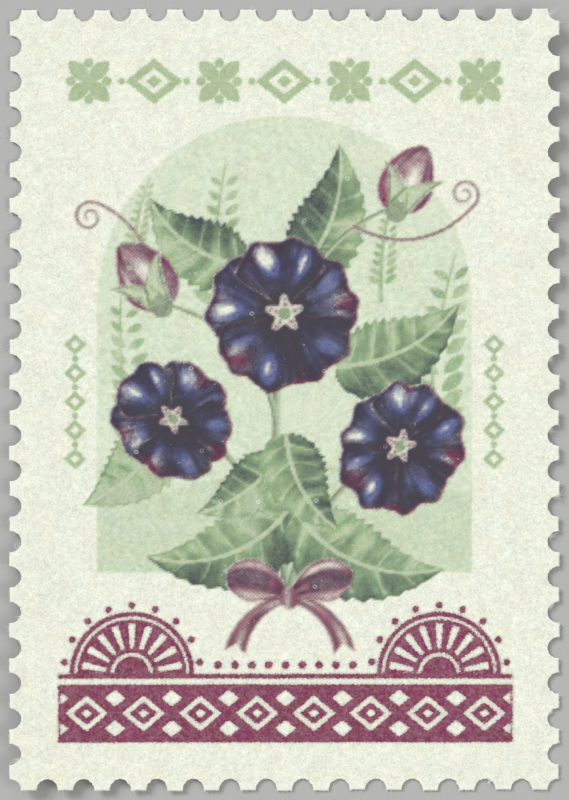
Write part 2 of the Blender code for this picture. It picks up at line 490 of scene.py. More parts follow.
# %% [markdown]
# Shapes as distances
#
# The ornaments are made of discs, bars, lozenges and pointed ovals. For each, a small function gives how far a point
# is from its edge, below zero inside. Stems, leaves and ribbons follow a bent line, so one more function measures
# along and across a circular arc.

# %% Distance functions
def polar(cx, cy, out, way):
    """The point that lies this far out from another, in this direction."""
    return cx + out * math.cos(way), cy + out * math.sin(way)


def disc(cx, cy, radius):
    """Distance to the centre, less the radius."""
    return np.hypot(X - cx, Y - cy) - radius


def bar(left, right, bottom, top):
    """The greatest of the four distances past the sides."""
    return np.maximum(np.maximum(left - X, X - right), np.maximum(bottom - Y, Y - top))


def lozenge(cx, cy, half_width, half_height):
    """|x| / half width + |y| / half height - 1, scaled to be a distance."""
    scale = half_width * half_height / math.hypot(half_width, half_height)
    return (np.abs(X - cx) / half_width + np.abs(Y - cy) / half_height - 1) * scale


def almond(cx, cy, direction, length, width):
    """A pointed oval: the overlap of two discs whose arcs meet at its tips."""
    a = (X - cx) * math.cos(direction) + (Y - cy) * math.sin(direction)
    b = (Y - cy) * math.cos(direction) - (X - cx) * math.sin(direction)
    radius = (length ** 2 + width ** 2) / (4 * width)
    return np.hypot(a, np.abs(b) + radius - width / 2) - radius


def along_arc(base, tip, bend):
    """For a circular arc from base to tip, whose middle stands off its chord by bend x chord: each point's share
    of the way along it by angle, its signed distance across it, and the arc's length."""
    base, chord = np.array(base, float), np.array(tip, float) - np.array(base, float)
    span = math.hypot(*chord)
    ahead = chord / span
    a = (X - base[0]) * ahead[0] + (Y - base[1]) * ahead[1] - span / 2
    sag = bend * span
    radius = (span ** 2 / 4 + sag ** 2) / (2 * sag)
    b = (Y - base[1]) * ahead[0] - (X - base[0]) * ahead[1] - sag + radius
    half = math.atan2(span / 2, abs(radius) - abs(sag))
    share = (np.arctan2(a, b * np.sign(radius)) / half + 1) / 2
    return share, (np.hypot(a, b) - abs(radius)) * np.sign(radius), 2 * half * abs(radius)


def blade(share, across, half, length):
    """Distance to a ribbon of this half width round an arc, rounded past its two ends."""
    over = np.maximum(np.maximum(-share, share - 1), 0) * length
    return np.where(over > 0, np.hypot(over, across), np.abs(across) - half)


# %% [markdown]
# Leaves and stems
#
# A leaf is a green wash with black drawn over it, and some blue in the shade: one half is dark, a pale rib runs down
# the middle, side veins sweep towards the tip, and the edge is a saw. The veins come from the fractional part of a
# slanted phase, so one line of numpy draws them all. A stem is a bare arc, darker along one side.

# %% Leaf and stem
def leaf(base, tip, bend, width, green=1.0, black=0.50, veins=6, lit=1, teeth=0.15, seed=1, warm=0.0):
    """Half width = sin(pi t^0.62)^k, with a saw edge; veins where (t x veins - 0.8 |q|) passes a half."""
    share, across, length = along_arc(base, tip, bend)
    t = np.clip(share, 0, 1)
    half = width / 2 * np.sin(np.pi * t ** 0.62) ** (0.75 + 0.35 * t) + 0.02
    tooth = (t * veins * 2 + 0.15 * np.sign(across)) % 1
    saw = np.minimum(tooth / 0.75, (1 - tooth) / 0.25) - 0.5
    half = half * (1 + teeth * saw * soft_step(0.0, 0.15, t) * soft_step(1.0, 0.8, t))
    edge = blade(share, across, half, length)
    q = across / np.maximum(half, 0.05)
    side_way = np.abs(q)
    phase = t * veins - 0.8 * side_way * (1 - 0.4 * t)
    vein = soft_step(0.11, 0.03, np.abs(phase % 1 - 0.5) * length / veins)
    vein = vein * soft_step(0.02, 0.15, side_way) * soft_step(1.0, 0.75, side_way)
    rib = soft_step(0.10, 0.02, np.abs(across) - 0.06 * (1 - t))
    blotch, wash = clouds(X, Y, 1.3, seed), clouds(X, Y, 0.45, seed + 40)
    brush = clouds(phase * 3.0, side_way * 0.9 + np.sign(q), 0.9, seed + 60)
    shade = 0.5 + 0.5 * lit * np.tanh(3 * q)
    depth = black * (0.72 + 0.75 * shade) + 0.08 * np.cos(2 * np.pi * phase) * (1 - 0.5 * shade) + 0.60 * blotch
    depth = depth + 0.30 * wash + 0.60 * brush + 0.15 * soft_step(0.65, 1.0, side_way) * shade
    depth = depth * (1 - 0.55 * rib) * (1 - 0.34 * vein)
    fresh = green * (0.84 + 0.30 * depth) - 0.12 * rib - 0.05 * vein
    blush = warm * soft_step(0.4, 1, t) * (1 + clouds(X, Y, 0.9, seed + 9)) + 0.02
    cool = 0.95 * np.clip(depth - 0.45, 0, 1) * (0.35 + 0.65 * shade) + 0.08 * blotch
    lay(edge, green=fresh, black=0.92 * (depth - 0.31), claret=blush * (1 - shade), blue=cool)
    rim = soft_step(0.10, 0.02, np.abs(edge + 0.05)) * soft_step(1.03, 0.97, share)
    tint(rim * (0.35 + 0.65 * shade), black=0.16, green=0.25)


def stem(base, tip, bend, wide, narrow):
    """A ribbon that narrows from base to tip, with black growing across it from the lit side to the shaded one."""
    share, across, length = along_arc(base, tip, bend)
    t = np.clip(share, 0, 1)
    half = (wide * (1 - t) + narrow * t) / 2
    shade = np.clip(across / half, -1, 1)
    flush = 0.03 + 0.15 * (clouds(X, Y, 0.8, 8) + 0.1)
    lay(blade(share, across, 0, length) - np.where((share > 0) & (share < 1), half, 0), soft=0.05,
        green=0.9 + 0.1 * shade, black=0.4 * (0.4 + 0.9 * shade), claret=flush, blue=0.05)


# %% [markdown]
# Petals
#
# A bloom is drawn in polar coordinates round its heart. Each of the five petals is as wide as a smooth step of the
# way out, and ends in a notched, softly waved edge. Their dark violet is black over blue over claret, and the lights
# are places where all three plates are left nearly bare, with a fringe of pink or blue where they don't agree.

# %% One petal
PETAL_TURN = 2 * np.pi / 5
PETAL_ORDER = (0, 2, 4, 1, 3)    # from the lowest petal to the topmost
LIGHT_WAY = 2.2                  # where the drawn light comes from: the upper left, as an angle from +X


def petal_shape(r, phi, seed):
    """Half width = 0.10 + 0.53 step(u), end = 1 + waves - notch - shoulder, all as shares of the petal's length.
    Gives the share of the way out, the share of the half width, the end, and the distance to the edge."""
    u, v = r * np.cos(phi), r * np.sin(phi)
    width = 0.10 + 0.53 * soft_step(0.05, 0.62, np.clip(u, 0, 1))
    wave = 0.016 * np.sin(phi * 13 + seed) + 0.008 * np.sin(phi * 23 + 2 * seed)
    end = 1.0 + wave - 0.075 * bell(phi, 0.15) - 0.42 * np.clip(np.abs(phi) - 0.28, 0, 1) ** 1.3
    return u, v / np.maximum(width, 0.05), end, np.maximum((np.abs(v) - width) * 0.95, r - end)


def petal_tones(u, q, r, rim_share, facing, streak, fine, wash):
    """Two lights, a flush of pink and a broad sheen, each a bell along the petal (u) times a bell across it (q), and
    a deep heart. They are taken off the solid plates, or added, with streaks and washes."""
    tip_light = bell(u - 0.70, 0.18) * bell(q - 0.28 - 0.5 * (u - 0.7), 0.19) * (0.57 + 0.37 * facing)
    side_light = bell(u - 0.60, 0.20) * bell(q + 0.46 + 0.4 * (u - 0.6), 0.14) * (0.42 + 0.42 * facing)
    glow = np.maximum(tip_light, side_light) * (1 + 0.7 * fine + 0.5 * streak + 0.5 * wash)
    halo, glint = soft_step(0.10, 0.40, glow), soft_step(0.58, 0.86, glow)
    flush = bell(u - 0.80, 0.16) * bell(q + 0.70 - 1.1 * facing, 0.30) * (1 - 0.5 * facing)
    sheen = bell(u - 0.62, 0.30) * bell(q - 0.05, 0.7) * (0.35 + 0.65 * facing)
    deep = soft_step(0.48, 0.18, u) + 0.6 * soft_step(0.6, 1.0, np.abs(q))
    black = 0.84 - 0.48 * sheen + 0.30 * deep + 0.45 * streak + 0.5 * fine * (r > 0.2) + 0.4 * wash
    black = black * (1 - 0.97 * halo) - 0.75 * flush
    blue = (1.0 + 0.15 * streak + 0.2 * wash - 0.10 * deep) * (1 - glint) - 0.80 * flush * (1 + wash)
    claret = 0.62 + 0.35 * soft_step(0.70, 1.0, np.abs(q)) + 0.35 * soft_step(0.3, 0.1, u) + 1.0 * wash
    claret = (claret - 0.22 * sheen + 0.40 * streak + 0.7 * flush) * (1 - 0.85 * halo) * (1 - glint)
    claret = claret + 0.30 * soft_step(0.88, 0.98, rim_share)
    return {"black": black, "blue": blue, "claret": claret, "green": 0.08 * (1 - glint)}


print("petals lie in the order", PETAL_ORDER)

# %% [markdown]
# Blooms
#
# The petals are laid one over the next, so each casts a shadow on those below, and each has a thin rim that catches
# the light where it faces the lamp. The heart is a pale star with a green eye and a ring of dark anthers.

# %% Bloom
def bloom(centre, radius, turn, tilt_way=0.0, tilt=1.0, seed=3):
    """Five petals of slightly different size round the centre, squeezed along one way by the tilt, and a star of
    radius 0.20 (1 + 0.30 cos 5 theta) in the middle."""
    x, y = X - centre[0], Y - centre[1]
    c, s = math.cos(tilt_way), math.sin(tilt_way)
    a, b = (x * c + y * s) / tilt, y * c - x * s
    x, y = a * c - b * s, a * s + b * c
    r, theta = np.hypot(x, y) / radius, np.arctan2(y, x) - turn
    wash = clouds(x, y, 0.7, seed + 3)
    covered = np.full_like(X, 9.0)
    chance = np.random.default_rng(seed)
    for k in PETAL_ORDER:
        size, lean = 1 + 0.10 * (chance.random() - 0.5), 0.14 * (chance.random() - 0.5)
        phi = (theta - k * PETAL_TURN + lean + np.pi) % (2 * np.pi) - np.pi
        u, q, end, edge = petal_shape(r / size, phi, seed)
        edge = np.where(u < 0.02, np.maximum(edge * radius, 0.3), edge * radius)
        streak = cloud(phi * 10 + k * 5, r * 0.8, 0.55, seed + k) - 0.5
        fine = cloud(phi * 34 + k * 7, r * 1.4, 0.55, seed + 20 + k) - 0.5
        facing = 0.5 + 0.5 * math.cos(turn + k * PETAL_TURN - LIGHT_WAY)
        shadow = soft_step(0.42, 0.0, edge) * (edge > 0) * soft_step(0.02, -0.05, covered)
        tint(shadow, black=0.6, claret=0.15)
        lay(edge, soft=0.055, **petal_tones(u, q, r, r / size / end, facing, streak, fine, wash))
        rim = soft_step(0.12, 0.03, np.abs(edge + 0.06))
        tint(rim, claret=0.30, blue=-0.25, black=-0.35)
        lit_rim = rim * (0.25 + 0.75 * soft_step(-0.2, 0.9, q * 0.5 + facing)) * soft_step(0.4, 0.9, facing)
        tint(lit_rim, claret=-0.10, blue=-0.30, black=-0.25)
        covered = np.minimum(covered, edge)
    star = (r - 0.20 * (1 + 0.30 * np.cos(5 * theta))) * radius
    tint(soft_step(0.45, 0.0, star), black=0.25, claret=0.25)
    lay(star, soft=0.07, claret=0.10 + 0.25 * soft_step(-0.25, 0, star), green=0.15)
    lay((r - 0.085) * radius, soft=0.05, green=0.95, black=0.30)
    for spoke in turn + PETAL_TURN * np.arange(5):
        for out, size in ((0.125, 0.10), (0.195, 0.085)):
            east, north = polar(0, 0, out * radius, spoke)
            lay(np.hypot(x - east, y - north) - size, soft=0.06, claret=0.95, black=0.2)


# %% [markdown]
# Buds and tendrils
#
# A bud is a closed egg of petals with two folds drawn down it, held by small leaves. A tendril is a thin claret line
# that ends in a spiral; its distance is taken from a few dozen short straight pieces, each rounded at its ends.

# %% Bud and tendril
def bud(base, tip, bend, width, seed=5, dark=0.0):
    """An egg round an arc, half width = sin(pi t^0.75)^0.62, with folds where q follows a sine of t."""
    share, across, length = along_arc(base, tip, bend)
    t = np.clip(share, 0, 1)
    half = width / 2 * np.sin(np.pi * (t * 0.97 + 0.015) ** 0.75) ** 0.62
    q = across / np.maximum(half, 0.05)
    fold = soft_step(0.16, 0.0, np.abs(q - 0.55 * np.sin(2.6 * t - 0.2)) * half) * soft_step(0.1, 0.25, t)
    other = soft_step(0.14, 0.0, np.abs(q + 0.15 + 0.5 * np.sin(2.2 * t)) * half) * soft_step(0.15, 0.3, t)
    light = bell(q + 0.12, 0.22) * bell(t - 0.52, 0.20) + 0.5 * bell(q - 0.62, 0.14) * bell(t - 0.5, 0.2)
    streak, wash = cloud(q * 3.0, t * 1.2, 0.5, seed) - 0.5, clouds(X, Y, 0.5, seed)
    pink = 0.80 - 0.85 * light + 0.3 * soft_step(0.5, 1, np.abs(q)) + 0.4 * streak + 0.3 * wash + 0.25 * fold
    blue = 0.03 + dark + 0.35 * fold + 0.3 * other + 0.25 * soft_step(0.5, 1, -q) - 0.3 * light
    lay(blade(share, across, half, length), claret=pink, blue=blue,
        black=0.02 + dark * 0.5 + 0.2 * fold + 0.25 * other - 0.3 * light)
    base, ahead = np.array(base, float), np.array(tip, float) - np.array(base, float)
    ahead /= math.hypot(*ahead)
    left = np.array([-ahead[1], ahead[0]])
    for side, reach in ((-1, 0.66), (1, 0.60)):
        end = base + ahead * length * reach + left * side * width * 0.58
        leaf(base - ahead * 0.15 * length, end, side * -0.14, width * 0.34, green=0.8, black=0.3, veins=3,
             lit=side, teeth=0, seed=seed + side, warm=0.4)
    leaf(base - ahead * 0.12 * length, base + ahead * length * 0.42, 0.02, width * 0.32, black=0.35, veins=3,
         teeth=0, seed=seed + 5)
    lay(disc(*(base + ahead * 0.02 * length), width * 0.20), green=0.9, black=0.35 + 0.3 * wash, claret=0.08)


def tendril(base, tip, bend, curl_radius, hand, width):
    """Points along a parabola, then 1.45 turns of a shrinking spiral. The nearest straight piece gives the edge."""
    base, tip = np.array(base, float), np.array(tip, float)
    k, j = np.linspace(0, 1, 14)[:, None], np.linspace(0, 1, 26)
    left = np.array([base[1] - tip[1], tip[0] - base[0]])
    arc = base + (tip - base) * k + left * (4 * bend * k * (1 - k))
    way = math.atan2(*(arc[-1] - arc[-2])[::-1])
    centre = np.array(polar(*tip, curl_radius, way + hand * np.pi / 2))
    angle = way - hand * np.pi / 2 + hand * j * 1.45 * 2 * np.pi
    spiral = centre + (curl_radius * (1 - 0.8 * j) * np.array([np.cos(angle), np.sin(angle)])).T
    path = np.concatenate([arc, spiral[1:]])
    nearest = np.full_like(X, 9.0)
    for k, (p, step) in enumerate(zip(path[:-1], np.diff(path, axis=0))):
        t = np.clip(((X - p[0]) * step[0] + (Y - p[1]) * step[1]) / (step @ step), 0, 1)
        half = width / 2 * (1 - 0.55 * (k + t) / len(path))
        nearest = np.minimum(nearest, np.hypot(X - p[0] - t * step[0], Y - p[1] - t * step[1]) - half)
    lay(nearest, soft=0.05, claret=0.9, black=0.15, green=0.1)


# %% [markdown]
# The picture
#
# The design is an everyday one: a spray of garden blooms in front of a pale arched panel. From the back to the front
# it is the panel with its ground, five flat sprigs, the back leaves, the stems, the front leaves, and then buds and
# blooms. Each thing wipes out what it covers, as the plates of the real print were drawn.

# %% Panel and sprigs
ARCH, SPRING, FOOT = 8.9, 4.6, -8.2     # half width, where the arch springs, and the panel's foot
panel = np.where(Y > SPRING, np.hypot(X, Y - SPRING) - ARCH, np.maximum(np.abs(X) - ARCH, FOOT - Y))
lay(panel, soft=0.05, green=0.36)
on_panel = soft_step(0.05, -0.05, panel)
ground = Y + 3.6 - 0.55 * np.sin(X * 0.5 + 1.0) - 0.22 * np.sin(X * 1.3)
tint(on_panel * soft_step(0.06, -0.06, ground), green=0.20)
SPRIGS = ((-6.9, -3.6, -0.10, 8.6), (6.9, -3.4, 0.12, 10.4), (-3.2, 3.0, 0.05, 8.2), (-7.3, 6.0, 0.20, 4.6),
          (4.6, 4.6, 0.10, 4.8))     # foot x and y, sway and height
for foot_x, foot_y, sway, tall in SPRIGS:
    share, across, _ = along_arc((foot_x, foot_y), (foot_x + sway * tall, foot_y + tall), 0.04)
    sprig = np.where((share > 0) & (share < 1), np.abs(across) - 0.10 * (1 - share) - 0.05, 9)
    for k in np.linspace(0.18, 0.87, 9):
        size = 0.17 * tall * (1 - 0.55 * k)
        for way in (np.pi / 2 + 0.95 + sway, np.pi / 2 - 0.95 + sway):
            middle = polar(foot_x + sway * tall * k, foot_y + tall * k, size * 0.62, way)
            sprig = np.minimum(sprig, almond(*middle, way, size, size * 0.46))
    tint(on_panel * soft_step(0.06, -0.06, sprig) * (1 + 0.8 * clouds(X, Y, 1.1, 55)), green=0.57)

print(len(SPRIGS), "sprigs on the panel")

# %% Spray
TIE = (0.2, -9.4)
leaf((0.6, 6.0), (2.6, 12.2), -0.12, 3.4, seed=101, black=0.58)
leaf((-1.6, 6.4), (-6.4, 9.6), 0.14, 3.2, lit=-1, seed=102)
leaf((2.4, 1.6), (8.3, 4.6), -0.12, 3.6, lit=-1, seed=103)
leaf((-5.6, -1.2), (-9.6, -5.0), 0.10, 3.2, lit=-1, seed=104, black=0.16)
stem(TIE, (-0.2, 3.0), 0.03, 0.46, 0.30)
stem(TIE, (-5.2, -0.6), -0.12, 0.38, 0.24)
stem(TIE, (5.0, -2.6), 0.12, 0.38, 0.24)
stem((-0.4, -1.0), (-5.9, 4.6), -0.16, 0.26, 0.18)
stem((0.5, 2.0), (5.4, 9.2), 0.18, 0.26, 0.18)
leaf((0.2, -5.2), (-6.6, -7.4), 0.16, 3.6, seed=105, black=0.56)
leaf((0.6, -5.4), (7.6, -8.0), -0.16, 3.9, lit=-1, seed=106)
leaf((-0.2, -2.6), (-4.2, -5.4), 0.10, 2.6, lit=-1, seed=107, black=0.42)
leaf((0.1, -1.6), (2.6, -6.2), -0.12, 3.0, seed=108, black=0.52)
tendril((-6.4, 5.6), (-9.0, 9.4), -0.16, 0.75, 1, 0.16)
tendril((3.2, 8.28), (9.0, 9.3), -0.19, 0.72, 1, 0.16)
bud((5.3, 8.9), (6.7, 12.0), 0.05, 2.6, seed=31)
bud((-5.8, 4.4), (-7.9, 7.3), -0.05, 2.7, seed=37, dark=0.10)
bloom((0.0, 4.1), 3.7, 0.35, seed=3)
bloom((-5.3, -0.9), 3.1, 1.0, tilt_way=0.9, tilt=0.86, seed=13)
bloom((5.5, -2.2), 3.3, 0.1, tilt_way=-0.5, tilt=0.9, seed=23)
print("mean tones:", {plate: round(float(values.mean()), 3) for plate, values in tone.items()})

# %% [markdown]
# The borders
#
# A row of green ornaments runs along the top and a short chain down each side. A claret band runs along the foot,
# and its rail carries two half-round fans with a row of beads between them. These are traditional forms with crisp
# edges, so they are line work: lozenges, discs and pointed ovals, joined and cut out of one another as distances.
# A bow of ribbon ties the stems just above.

# %% Top row and side chains
TOP_ROW, CHAIN = 15.15, 9.95     # height of the row's middle, and how far out the chains hang


def hollow_lozenge(cx, cy, outer, inner):
    """A lozenge with a lozenge cut out of it: the greater of one distance and the other, negated."""
    return np.maximum(lozenge(cx, cy, *outer), -lozenge(cx, cy, *inner))


for n in range(7):
    cx = -9.3 + 3.1 * n
    if n % 2 == 0:
        for k in range(4):
            way = np.pi * (k / 2 + 0.25)
            solid("green", almond(*polar(cx, TOP_ROW, 0.66, way), way, 1.35, 0.72))
            solid("green", disc(*polar(cx, TOP_ROW, 0.86, k * np.pi / 2), 0.22))
    else:
        ring = hollow_lozenge(cx, TOP_ROW, (1.35, 1.08), (0.78, 0.62))
        solid("green", np.minimum(ring, lozenge(cx, TOP_ROW, 0.36, 0.30)))
    if n < 6:
        solid("green", disc(cx + 1.55, TOP_ROW, 0.16))

for side in (-1, 1):
    for n in range(9):
        cy = -2.8 + 0.68 * n
        if n % 2:
            solid("green", disc(side * CHAIN, cy, 0.15))
        else:
            solid("green", hollow_lozenge(side * CHAIN, cy, (0.52, 0.50), (0.24, 0.22)))

# %% Foot band and fans
BAND_MIDDLE, RAIL = -14.87, -13.0        # heights of the band's middle and of the rail's upper edge
FAN_PLACE, FAN_RADIUS, FAN_RAYS = 7.3, 2.95, 9
band = bar(-PRINT[0], PRINT[0], -PRINT[1], -13.5)
solid("claret", band)
for n in range(17):
    cx = PRINT[0] * (n / 8 - 1)
    if n % 2:
        cut("claret", lozenge(cx, BAND_MIDDLE, 1.02, 0.86))
        solid("claret", lozenge(cx, BAND_MIDDLE, 0.66, 0.54))
        cut("claret", lozenge(cx, BAND_MIDDLE, 0.26, 0.22))
    else:
        for dy in (-0.72, 0.72):
            cut("claret", np.maximum(lozenge(cx, BAND_MIDDLE + dy, 0.50, 0.40), band + 0.12))
solid("claret", bar(-PRINT[0], PRINT[0], -13.22, RAIL))
for side in (-1, 1):
    cx = side * FAN_PLACE
    r, angle = np.hypot(X - cx, Y - RAIL), np.arctan2(Y - RAIL, X - cx)
    solid("claret", np.maximum(r - FAN_RADIUS, RAIL - Y))
    rays = (np.abs((angle / np.pi * FAN_RAYS) % 1 - 0.5) - 0.22) * r * np.pi / FAN_RAYS
    cut("claret", np.maximum(np.maximum(rays, 1.22 - r), np.maximum(r - 2.40, RAIL - Y)))
    for ring, width in ((0.92, 0.09), (2.66, 0.075)):
        cut("claret", np.maximum(np.abs(r - ring) - width, RAIL + 0.05 - Y))
    for n in range(FAN_RAYS):
        solid("claret", disc(*polar(cx, RAIL, 3.26, (n + 0.5) * np.pi / FAN_RAYS), 0.17))
for n in range(9):
    solid("claret", disc(0.8 * (n - 4), RAIL + 0.42, 0.19))

print("band between", -PRINT[1], "and -13.5, fans of", FAN_RAYS, "rays")

# %% Bow of ribbon
for side in (-1, 1):
    share, across, length = along_arc(TIE, (TIE[0] + side * 2.6, TIE[1] - 2.6), side * 0.16)
    half = 0.18 + 0.34 * np.clip(share, 0, 1)
    notch = share - 1 + 0.12 * (1 - np.abs(across) / half)
    fold = cloud(across / half * 1.6, share * 1.5, 0.6, 61 + side) - 0.5
    light = bell(across / half - 0.2, 0.35) * (0.5 + 0.5 * np.sin(share * 9))
    lay(np.maximum(np.abs(across) - half, np.maximum(-share, notch) * length), blue=0.06 + 0.3 * fold,
        claret=0.95 - 0.50 * light + 0.2 * fold, black=0.08 + 0.6 * fold + 0.3 * soft_step(0.3, 0.0, share))
for side in (-1, 1):
    share, across, length = along_arc(TIE, (TIE[0] + side * 3.0, TIE[1] + 0.9), side * 0.10)
    half = 0.16 + 0.85 * np.sin(np.pi * np.clip(share, 0, 1) ** 1.3 * 0.93) ** 0.9
    q = across / half
    inner = soft_step(0.12, -0.04, np.maximum(np.abs(across + 0.05) - half * 0.42, (0.36 - share) * length))
    fold = cloud(q * 2.4, share * 1.4, 0.6, 71 + side) - 0.5
    light = bell(q - 0.72, 0.16) * soft_step(0.15, 0.5, share) * soft_step(1.0, 0.7, share)
    light = light + 0.6 * bell(q + 0.74, 0.12) * soft_step(0.3, 0.6, share) + 0.25 * inner * (fold > 0.1)
    gather = soft_step(0.55, 0.05, share)
    lay(blade(share, across, half, length), claret=0.93 - 0.6 * light + 0.3 * fold,
        blue=0.05 + 0.35 * inner - 0.3 * light,
        black=0.05 + 0.40 * inner + 0.35 * gather + (0.5 + 0.8 * gather) * fold - 0.2 * light)
knot = np.hypot(X - TIE[0], (Y - TIE[1]) / 1.15) - 0.46
lay(knot, claret=0.95 - 0.4 * bell(X - TIE[0] + 0.12, 0.14), black=0.15)
print("line work nearest to an edge, in mm:", {plate: round(float(d.min()), 2) for plate, d in line.items()})

# %% [markdown]
# The film of ink
#
# On the real stamp the ink has soaked a few thousandths of a millimetre into the paper and stands a hair above it.
# It could be painted into the paper's own material, but the paper's mesh is coarse in the middle and can't carry a
# picture. So the ink is a fine grid of its own that floats just above the face, follows its curl, and dips into it at
# the rim, so that no step shows. Each plate is moved by its own small error of register, and its tones are stored at
# the grid's points.

# %% Ink film
REGISTER = {"green": (0.0, 0.0), "claret": (0.05, -0.02), "blue": (-0.04, 0.035), "black": (0.0, 0.0)}


def in_register(values, plate):
    """The plate's values moved by its error of register: each point blends with its neighbour on that side."""
    for axis, move in ((1, REGISTER[plate][0]), (0, -REGISTER[plate][1])):
        share = abs(move) / CELL
        values = (1 - share) * values + share * np.roll(values, int(np.sign(move)), axis)
    return values


tone = {plate: in_register(values, plate) for plate, values in tone.items()}
line = {plate: in_register(values, plate) for plate, values in line.items()}
UNDER = THICKNESS - 0.003        # the film's rim and underside lie just inside the paper
from_rim = np.minimum(X.max() - np.abs(X), Y.max() - np.abs(Y))
film_rise = UNDER + (THICKNESS + INK - UNDER) * soft_step(0.0, 0.9 * MARGIN, from_rim)
order = np.arange(X.size).reshape(X.shape)
rim_order = np.concatenate([order[-1, :-1], order[:0:-1, -1], order[0, :0:-1], order[:-1, 0]])
flat = np.stack([X, Y], -1).reshape(-1, 2)
under_x, under_y = np.meshgrid(np.arange(-10.6, 10.7, 0.8), np.arange(-16.0, 16.1, 0.8))
under = np.stack([under_x, under_y], -1).reshape(-1, 2)
triangles = filled(flat[rim_order], under)
underside = np.where(triangles < len(rim_order), rim_order[triangles % len(rim_order)],
                     triangles - len(rim_order) + X.size)[:, ::-1]
film_flat = np.concatenate([flat, under])
rise = np.concatenate([film_rise.ravel(), np.full(len(under), UNDER)])
film_points = np.column_stack([film_flat, curl(film_flat[:, 0], film_flat[:, 1]) + rise])
film_faces = grid_faces(rows, columns)[:, ::-1]
printed_ink = make_piece("printed_ink", film_points, [film_faces, underside], sharp=60)


def store(name, kind, *layers, bare=0.0):
    """Writes one value or vector for each point of the film; the points of its underside get the bare value."""
    values = np.concatenate([np.stack(layers, -1).reshape(X.size, -1), np.full((len(under), len(layers)), bare)])
    layer = printed_ink.data.attributes.new(name, kind, "POINT")
    layer.data.foreach_set("value" if kind == "FLOAT" else "vector", values.astype(np.float32).ravel())


store("tones", "FLOAT_VECTOR", tone["green"], tone["claret"], tone["blue"])
store("black_tone", "FLOAT", tone["black"])
store("edges", "FLOAT_VECTOR", line["green"], line["claret"], np.zeros_like(X), bare=9.0)
places = film_flat / (2 * flat.max(0)) + 0.5
map_top = places[film_faces.ravel()] * (1.0, 0.99) + (0.0, 0.01)
map_under = places[underside.ravel()] * (1.0, 0.005)
store_map(printed_ink, np.concatenate([map_top, map_under]))

# %% [markdown]
# Wiring shaders with sums
#
# A shader is a graph of small nodes. To write one as a sum, a class wraps a node's output and overloads the
# operators, so that a line such as 1 - mask * 0.3 adds the two Math nodes that it needs. Every other node comes from
# one method, which makes the settings first and then the inputs.

# %% The wire class
class Wire:
    """One output of a shader node in the tree that is being wired."""

    tree = None

    def __init__(self, socket):
        self.socket = socket

    @classmethod
    def node(cls, kind, inputs=(), output=0, **settings):
        """Adds a node: first its settings, then a value or a link for each named or numbered input."""
        made = cls.tree.nodes.new(kind)
        for name, value in settings.items():
            setattr(made, name, value)
        for name, value in dict(inputs).items():
            if isinstance(value, Wire):
                cls.tree.links.new(value.socket, made.inputs[name])
            else:
                made.inputs[name].default_value = value
        return cls(made.outputs[output])

    def maths(self, operation, *others):
        return self.node("ShaderNodeMath", enumerate((self,) + others), operation=operation)

    def __add__(self, other):
        return self.maths("ADD", other)

    def __mul__(self, other):
        return self.maths("MULTIPLY", other)

    __radd__, __rmul__ = __add__, __mul__    # the order doesn't matter for these two

    def __sub__(self, other):
        return self.maths("SUBTRACT", other)

    def __rsub__(self, other):
        return self.node("ShaderNodeMath", {0: other, 1: self}, operation="SUBTRACT")

    def step(self, start, stop, low=0.0, high=1.0):
        """low before start, high after stop, and a smooth cubic between them."""
        values = {"Value": self, "From Min": start, "From Max": stop, "To Min": low, "To Max": high}
        return self.node("ShaderNodeMapRange", values, interpolation_type="SMOOTHSTEP")


def noise(place, size, detail=2.0, roughness=0.5):
    """Smooth noise whose features are about this many millimetres, near 0.5 on average."""
    values = {"Vector": place, "Scale": 1000 / size, "Detail": detail, "Roughness": roughness}
    return Wire.node("ShaderNodeTexNoise", values)


def blend(factor, first, second, kind="MIX"):
    """A colour between two others, or the first multiplied by the second where the factor is 1."""
    return Wire.node("ShaderNodeMix", {0: factor, 6: first, 7: second}, 2, data_type="RGBA", blend_type=kind)


def stretched(place, scale, turn=0.0):
    """A place squeezed by these factors, so that noise is drawn out along the smallest, and turned about the z axis."""
    return Wire.node("ShaderNodeMapping", {"Vector": place, "Scale": scale, "Rotation": (0, 0, turn)})


def object_place():
    """The place on the sheet, in metres."""
    return Wire.node("ShaderNodeTexCoord", output="Object")


def new_material(name):
    """An empty node material, with its tree ready to be wired."""
    material = bpy.data.materials.new(name)
    material.use_nodes = True
    material.node_tree.nodes.clear()
    Wire.tree = material.node_tree
    return material


def surface(colour, roughness, normal, **constants):
    """The Principled surface and the material's output."""
    values = {"Base Color": colour, "Roughness": roughness, "Normal": normal}
    shader = Wire.node("ShaderNodeBsdfPrincipled", {**values, **constants})
    Wire.tree.links.new(shader.socket, Wire.tree.nodes.new("ShaderNodeOutputMaterial").inputs["Surface"])


print("wire class ready")

# %% [markdown]
# Uncoated paper
#
# Stamp paper is an uncoated sheet of pulp. It isn't white but a warm grey-green, clouded at half a millimetre where
# the fibres lie thicker or thinner, with single darker specks. Teeth and rims that were rubbed show bare, whiter
# pulp. Its surface is matt, and felted rather than smooth. The same colour is needed under the ink, so it is a
# function that both materials call.

# %% Paper colour and felt
PAPER_COOL = (0.822, 0.864, 0.750, 1.0)
PAPER_WARM = (0.852, 0.854, 0.714, 1.0)
PULP, TUFTS, GRAIN, SPECKS = 0.22, 0.34, 0.53, 0.12     # how strongly each scale of pulp shades the paper


